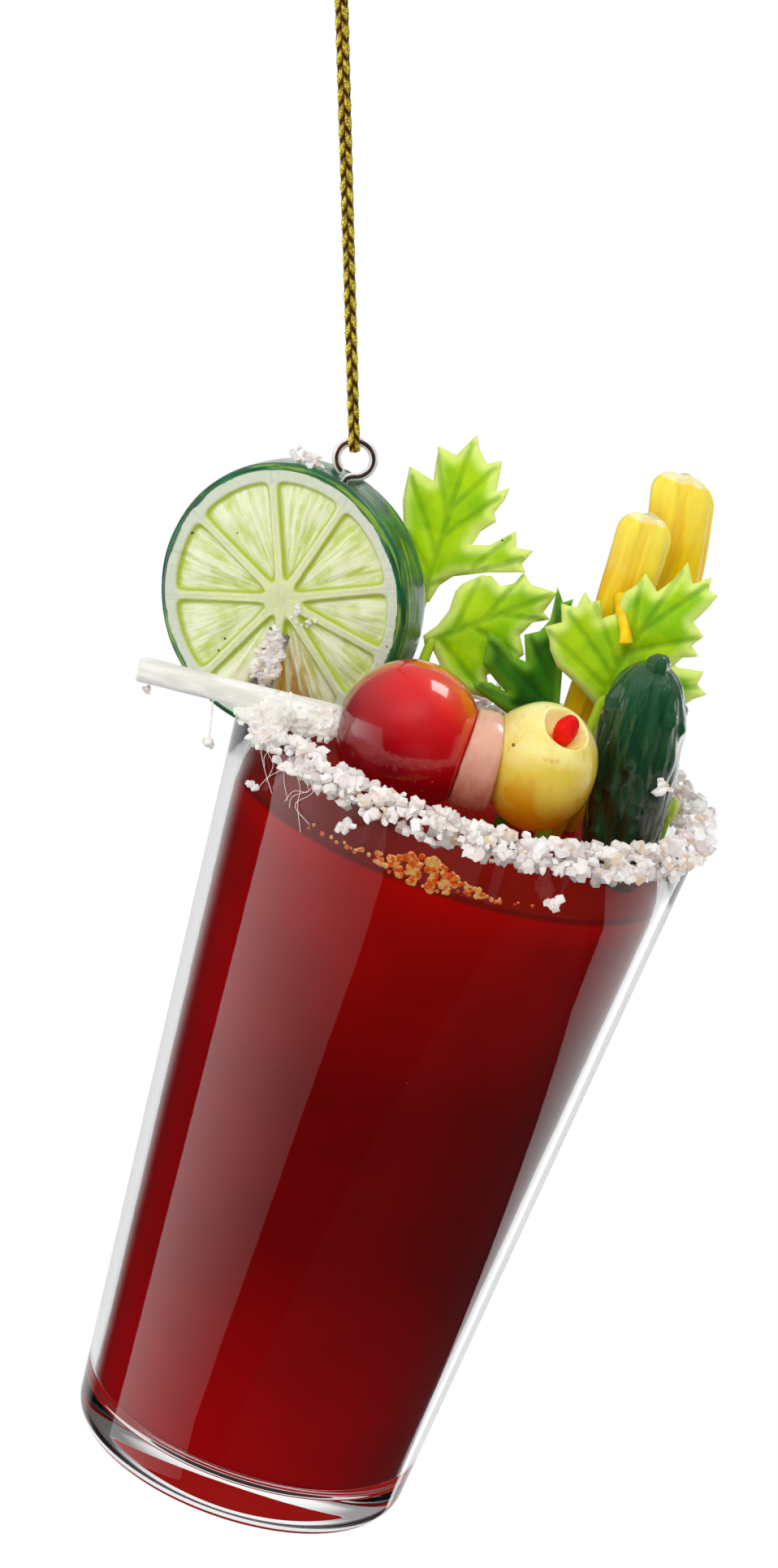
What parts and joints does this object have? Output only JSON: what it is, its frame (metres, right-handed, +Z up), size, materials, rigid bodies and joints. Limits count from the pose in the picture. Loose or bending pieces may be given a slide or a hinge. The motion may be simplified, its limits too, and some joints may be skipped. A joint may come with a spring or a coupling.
{
  "type": "hanging cocktail glass ornament",
  "caption": "Clear tumbler of red cast drink with a salted rim, lime slice, celery, gherkin and a garnish stick, hanging from a gold cord by a screw eye in the lime.",
  "frame": {"origin": "the hang point: inside the top of the cord loop, just under its knot, where a hook's wire carries it", "axes": "+Z straight up, the viewer at -Y, the lime slice towards -X; the glass leans as it hangs"},
  "size_m": [0.0724, 0.0588, 0.1839],
  "materials": {
    "cord_gold": "knitted metallic thread",
    "eye_steel": "bright bent wire",
    "lime_resin": "moulded resin, painted rind, glossy",
    "clear_glass": "clear, polished",
    "drink_red": "cast resin, deep red, glossy",
    "froth_amber": "small clear bubbles",
    "stick_white": "translucent white",
    "tomato_red": "high gloss paint",
    "onion_pink": "translucent, glossy",
    "olive_yellow": "waxy, glossy",
    "pimento_red": "satin paint",
    "gherkin_green": "lumpy, glossy",
    "celery_yellow": "ribbed, satin",
    "leaf_pale": "soft moulded leaf, satin",
    "leaf_deep": "soft moulded leaf, satin",
    "salt_grains": "clear faceted grains",
    "glue_clear": "cloudy clear glue"
  },
  "bodies": {
    "hanger": {"cord_knot": "cord_gold"},
    "cord_loop": {"cord_front": "cord_gold", "cord_back": "cord_gold"},
    "ornament": {"lime_slice": "lime_resin", "salt_in_slit": "salt_grains", "salt_on_lime": "salt_grains", "salt_at_centre": "salt_grains", "screw_eye": "eye_steel", "cocktail_stick": "stick_white", "cherry_tomato": "tomato_red", "onion_slice": "onion_pink", "olive": "olive_yellow", "pimento": "pimento_red", "salt_under_stick": "salt_grains", "glass_tumbler": "clear_glass", "drink_lining": "drink_red", "drink_top": "drink_red", "froth": "froth_amber", "gherkin": "gherkin_green", "celery_tall": "celery_yellow", "celery_short": "celery_yellow", "leaf_top": "leaf_pale", "leaf_mid": "leaf_pale", "leaf_dark": "leaf_deep", "leaf_right": "leaf_pale", "leaf_bit": "leaf_pale", "salt_crust": "salt_grains", "salt_lump_left": "salt_grains", "salt_lump_right": "salt_grains", "salt_on_gherkin": "salt_grains", "salt_grain_left": "salt_grains", "glue_mass": "glue_clear", "glue_thread": "glue_clear"}
  },
  "joints": [
    {"name": "cord_swing", "type": "hinge", "parent": "hanger", "child": "cord_loop", "pos_m": [0, 0, 0], "axis": [0, 1, 0], "range_deg": [-45, 45]},
    {"name": "ornament_rock", "type": "hinge", "parent": "cord_loop", "child": "ornament", "pos_m": [0, 0, -0.0545], "axis": [1, 0, 0], "range_deg": [-60, 60]}
  ]
}
